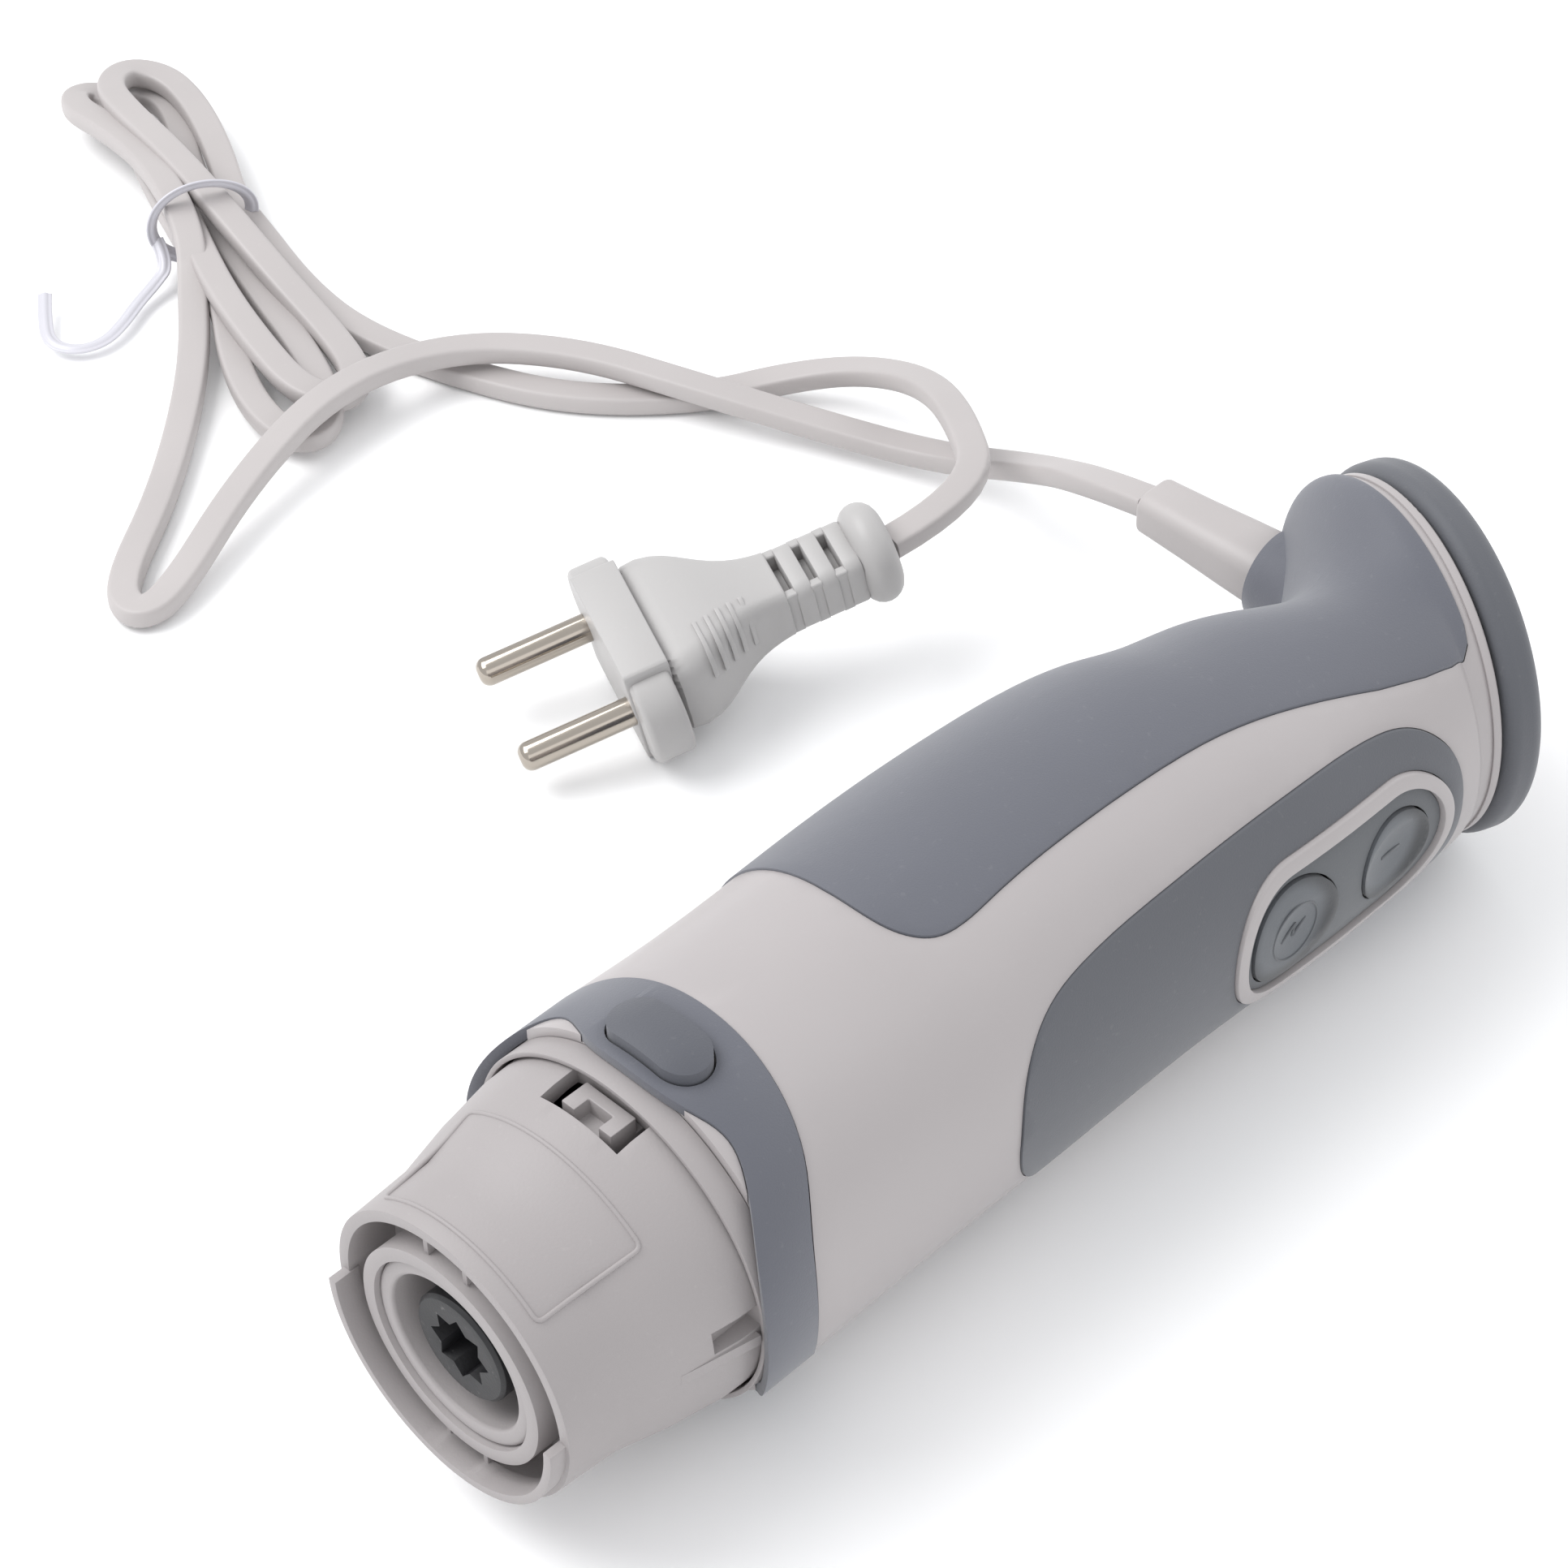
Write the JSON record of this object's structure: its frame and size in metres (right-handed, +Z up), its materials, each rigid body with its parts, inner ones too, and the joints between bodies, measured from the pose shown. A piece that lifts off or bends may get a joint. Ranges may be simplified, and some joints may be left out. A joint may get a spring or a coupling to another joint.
{
  "type": "immersion blender",
  "caption": "Hand-held immersion blender motor handle with grip, switch panel, speed dial and coupling neck, mains cord tied in a hank, and round-pin plug.",
  "frame": {"origin": "bottom centre of the handle's box (cord, hank, plug and strain relief left out); the handle lies on its side on the floor z = 0", "axes": "+X from the coupling end to the speed dial along the motor axis; -Y the side of the two switches; +Y the back grip and the cord; +Z up, through the upper release button"},
  "size_m": [0.2075, 0.3296, 0.0599],
  "materials": {
    "housing_white": "smooth satin-gloss",
    "neck_white": "fine matt",
    "grip_blue_grey": "soft-touch matt",
    "panel_grey": "soft-touch matt",
    "switch_grey": "soft satin",
    "dial_white": "satin",
    "coupling_black": "moulded black",
    "bright_steel": "ground",
    "lamination_steel": "stacked sheet",
    "bracket_alloy": "die-cast",
    "copper": "enamelled copper",
    "carbon": "pressed carbon",
    "mount_rubber": "matt",
    "board_green": "solder mask",
    "cord_white": "soft satin vinyl",
    "lead_white": "vinyl",
    "plug_white": "satin vinyl",
    "pin_nickel": "bright nickel",
    "tie_white": "plastic over wire"
  },
  "bodies": {
    "handle": {"housing_shell": "housing_white", "cap_flange": "housing_white", "switch_bezel": "housing_white", "neck": "neck_white", "bore_sleeve": "neck_white", "collar_liner": "neck_white", "back_grip": "grip_blue_grey", "collar_band": "grip_blue_grey", "front_panel": "panel_grey", "switch_membrane": "switch_grey", "brush_holder_upper": "coupling_black", "brush_holder_lower": "coupling_black", "microswitch_large": "coupling_black", "microswitch_small": "coupling_black", "potentiometer": "coupling_black", "cord_clamp": "coupling_black", "front_bearing": "bright_steel", "rear_bearing": "bright_steel", "clamp_screw_upper": "bright_steel", "clamp_screw_lower": "bright_steel", "latch_spring_upper": "bright_steel", "latch_spring_lower": "bright_steel", "brush_spring_upper": "bright_steel", "brush_spring_lower": "bright_steel", "stator_core": "lamination_steel", "front_bearing_bracket": "bracket_alloy", "rear_bearing_bracket": "bracket_alloy", "field_coil_upper": "copper", "field_coil_lower": "copper", "carbon_brush_upper": "carbon", "carbon_brush_lower": "carbon", "motor_mount_front": "mount_rubber", "motor_mount_rear": "mount_rubber", "control_board": "board_green", "strain_relief": "cord_white", "cord_to_hank": "cord_white", "cord_to_plug": "cord_white", "cord_hank": "cord_white", "inner_lead_upper": "lead_white", "inner_lead_lower": "lead_white", "plug_body": "plug_white", "plug_pin_left": "pin_nickel", "plug_pin_right": "pin_nickel", "twist_tie": "tie_white"},
    "release_upper": {"release_button_upper": "grip_blue_grey", "latch_hook_upper": "neck_white"},
    "release_lower": {"release_button_lower": "grip_blue_grey", "latch_hook_lower": "neck_white"},
    "large_button": {"button_large": "switch_grey"},
    "small_button": {"button_small": "switch_grey"},
    "rotor": {"motor_shaft": "bright_steel", "drive_coupling": "coupling_black", "fan": "coupling_black", "rotor_core": "lamination_steel", "rotor_windings": "copper", "commutator": "copper"},
    "speed_dial": {"dial_core": "dial_white", "dial_rim": "panel_grey", "dial_cover": "dial_white", "dial_spindle": "bright_steel"}
  },
  "joints": [
    {"name": "release_upper_press", "type": "slide", "parent": "handle", "child": "release_upper", "axis": [0, 0, -1], "range_m": [0, 0.002], "stiffness_N_per_m": 900, "springref_m": -0.003, "deforming": ["latch_spring_upper"]},
    {"name": "release_lower_press", "type": "slide", "parent": "handle", "child": "release_lower", "axis": [0, 0, 1], "range_m": [0, 0.002], "stiffness_N_per_m": 900, "springref_m": -0.003, "deforming": ["latch_spring_lower"]},
    {"name": "large_button_press", "type": "slide", "parent": "handle", "child": "large_button", "axis": [0, 1, 0], "range_m": [0, 0.0012], "stiffness_N_per_m": 1500, "springref_m": -0.001},
    {"name": "small_button_press", "type": "slide", "parent": "handle", "child": "small_button", "axis": [0, 1, 0], "range_m": [0, 0.0012], "stiffness_N_per_m": 1500, "springref_m": -0.001},
    {"name": "rotor_spin", "type": "hinge", "parent": "handle", "child": "rotor", "pos_m": [0, 0.00132, 0.02997], "axis": [1, 0, 0], "continuous": true},
    {"name": "speed_dial_turn", "type": "hinge", "parent": "handle", "child": "speed_dial", "pos_m": [0.08548, -0.00108, 0.02997], "axis": [0.9354, -0.3535, 0], "range_deg": [0, 270]}
  ]
}
